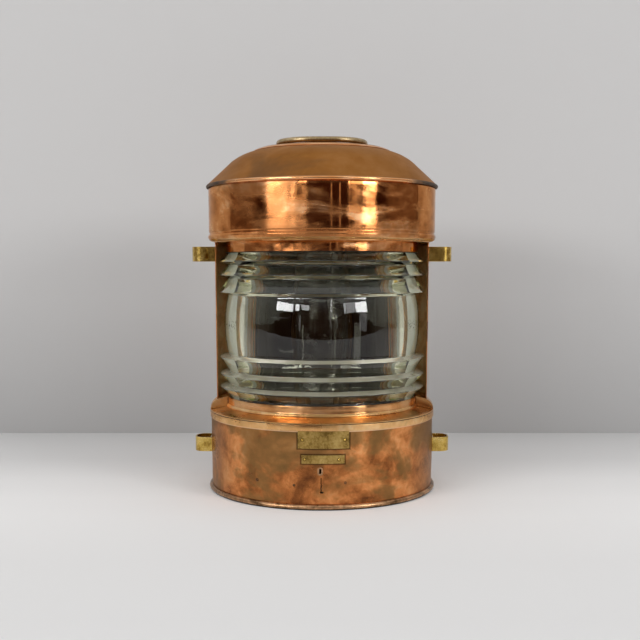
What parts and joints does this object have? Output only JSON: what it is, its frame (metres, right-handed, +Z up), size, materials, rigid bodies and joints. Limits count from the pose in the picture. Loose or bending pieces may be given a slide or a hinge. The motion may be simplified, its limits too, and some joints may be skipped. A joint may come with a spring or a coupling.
{
  "type": "navigation lantern",
  "caption": "Round copper ship's lantern with a ribbed drum lens, paraffin lamp inside, rear door, folding top handle and side loops that ride on guide rods.",
  "frame": {"origin": "centre of the round foot, on the surface that it stands on", "axes": "+Z up; -Y is the front, where the lens's middle and the plates face; +Y is the rear door; +X is to the right seen from the front"},
  "size_m": [0.288, 0.256, 0.3837],
  "materials": {
    "copper": "copper sheet, worn and mottled brown",
    "brass": "dull aged brass",
    "tinned_sheet": "tinned sheet, darkened by smoke",
    "steel": "plain steel wire and pins",
    "lens_glass": "clear pressed glass, faintly green",
    "chimney_glass": "clear blown glass",
    "cotton": "woven cotton tape"
  },
  "bodies": {
    "housing": {"base_bead": "copper", "base_wire": "steel", "base_shell": "copper", "base_floor": "copper", "base_eyelet": "brass", "base_studs": "brass", "name_plate": "brass", "number_plate": "brass", "plate_rivets": "brass", "shoulder_ring": "copper", "shell_foot": "copper", "lens_collar_lower": "copper", "lens": "lens_glass", "lens_channel_left": "tinned_sheet", "lens_channel_right": "tinned_sheet", "lens_collar_upper": "copper", "back_shell": "copper", "roof_floor": "copper", "flue_tube": "tinned_sheet", "flue_cap": "tinned_sheet", "roof_drum": "copper", "roof_rim": "copper", "dome": "copper", "crown_plate": "copper", "handle_ear_left": "brass", "handle_ear_right": "brass", "ear_rivets": "brass", "guide_loop_upper_left": "brass", "guide_loop_upper_right": "brass", "guide_loop_lower_left": "brass", "guide_loop_lower_right": "brass", "loop_rivets": "brass", "hinge_leaf_upper": "brass", "hinge_leaf_lower": "brass", "hinge_pin_upper": "steel", "hinge_pin_lower": "steel", "hasp_staple": "brass", "tank_seat": "tinned_sheet", "oil_tank": "brass", "burner_collar": "brass", "burner_body": "brass", "burner_gallery": "brass", "flame_cap": "brass", "wick_tube": "brass"},
    "handle": {"carrying_handle": "brass"},
    "door": {"door_panel": "copper", "door_leaf_upper": "brass", "door_leaf_lower": "brass", "door_pull": "brass", "hasp_bracket": "brass", "hasp_pin": "steel"},
    "hasp": {"hasp": "brass"},
    "filler": {"filler_cap": "brass"},
    "chimney": {"chimney": "chimney_glass"},
    "wick": {"wick": "cotton"},
    "knob": {"wick_shaft": "steel", "wick_knob": "brass"}
  },
  "joints": [
    {"name": "handle_fold", "type": "hinge", "parent": "housing", "child": "handle", "pos_m": [0, 0, 0.3793], "axis": [-1, 0, 0], "range_deg": [0, 180]},
    {"name": "door_swing", "type": "hinge", "parent": "housing", "child": "door", "pos_m": [0.09083, 0.0847, 0.186], "axis": [0, 0, -1], "range_deg": [0, 110]},
    {"name": "hasp_swing", "type": "hinge", "parent": "door", "child": "hasp", "pos_m": [-0.07462, 0.09903, 0.1845], "axis": [0, 0, -1], "range_deg": [0, 130]},
    {"name": "cap_lift", "type": "slide", "parent": "housing", "child": "filler", "axis": [0, 0, 1], "range_m": [0, 0.012]},
    {"name": "chimney_lift", "type": "slide", "parent": "housing", "child": "chimney", "axis": [0, 0, 1], "range_m": [0, 0.02]},
    {"name": "knob_turn", "type": "hinge", "parent": "housing", "child": "knob", "pos_m": [0, -0.0068, 0.122], "axis": [1, 0, 0], "range_deg": [-40, 140]},
    {"name": "wick_lift", "type": "slide", "parent": "housing", "child": "wick", "axis": [0, 0, 1], "range_m": [-0.0036, 0.0123]}
  ],
  "couplings": [
    {"joint": "wick_lift", "follows": "knob_turn", "m_per_rad": 0.005}
  ]
}
